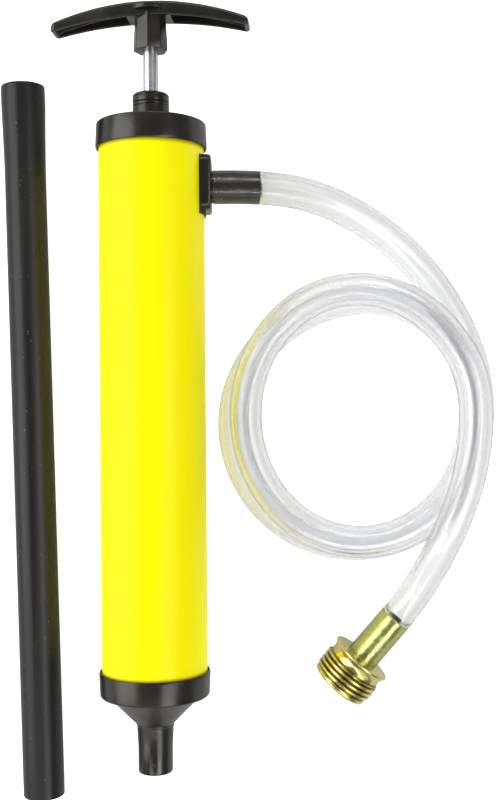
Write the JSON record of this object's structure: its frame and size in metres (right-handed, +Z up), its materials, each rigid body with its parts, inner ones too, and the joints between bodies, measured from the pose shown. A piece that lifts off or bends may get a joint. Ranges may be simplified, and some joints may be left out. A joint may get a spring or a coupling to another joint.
{
  "type": "hand fluid transfer pump",
  "caption": "Hand lift pump with a yellow barrel, T-handle on a steel rod, coiled clear hose with a brass hose fitting and a loose suction tube.",
  "frame": {"origin": "on the surface it lies on, under the middle of the pump and its suction tube (hose left out)", "axes": "+Y along the pump from the intake nozzle to the handle, +X towards the outlet, +Z up off the surface"},
  "size_m": [0.2168, 0.3418, 0.0475],
  "materials": {
    "barrel_yellow": "smooth semi-gloss extruded tube",
    "black_plastic": "moulded, semi-gloss",
    "tube_plastic": "extruded, satin with fine streaks",
    "black_rubber": "matt",
    "white_plastic": "moulded, satin",
    "plain_steel": "plain",
    "rod_chrome": "bright drawn bar",
    "brass": "machined",
    "clear_hose": "clear flexible vinyl"
  },
  "bodies": {
    "pump_body": {"barrel": "barrel_yellow", "top_cap": "black_plastic", "top_gasket": "black_rubber", "rod_guide_bush": "white_plastic", "rod_seal": "black_rubber", "seal_washer": "plain_steel", "gland_nut": "black_plastic", "bottom_cap": "black_plastic", "bottom_gasket": "black_rubber", "foot_valve_seat": "white_plastic", "outlet_port": "black_plastic", "outlet_gasket": "black_rubber", "hose_lead": "clear_hose", "hose_coil": "clear_hose", "hose_tail": "clear_hose", "hose_fitting": "brass"},
    "piston": {"piston_body": "white_plastic", "cup_seal": "black_rubber", "backup_ring": "white_plastic", "piston_cage": "white_plastic"},
    "piston_valve": {"piston_ball": "plain_steel"},
    "rod_and_handle": {"pump_rod": "rod_chrome", "rod_end_nut": "plain_steel", "rod_bumper": "black_rubber", "handle": "black_plastic", "handle_insert": "brass"},
    "foot_valve": {"foot_valve_flap": "black_rubber", "foot_valve_stem": "plain_steel", "foot_valve_clip": "plain_steel"},
    "suction_tube": {"suction_tube": "tube_plastic"}
  },
  "joints": [
    {"name": "piston_stroke", "type": "slide", "parent": "pump_body", "child": "piston", "axis": [0, 1, 0], "range_m": [-0.018, 0.17]},
    {"name": "piston_valve_lift", "type": "slide", "parent": "piston", "child": "piston_valve", "axis": [0, 1, 0], "range_m": [0, 0.004]},
    {"name": "handle_turn", "type": "hinge", "parent": "piston", "child": "rod_and_handle", "pos_m": [0.0103, 0.16, 0.02375], "axis": [0, 1, 0], "continuous": true},
    {"name": "foot_valve_lift", "type": "slide", "parent": "pump_body", "child": "foot_valve", "axis": [0, 1, 0], "range_m": [0, 0.003]},
    {"name": "suction_tube_lift", "type": "slide", "parent": "pump_body", "child": "suction_tube", "axis": [0, 0, 1], "range_m": [0, 0.06]}
  ]
}
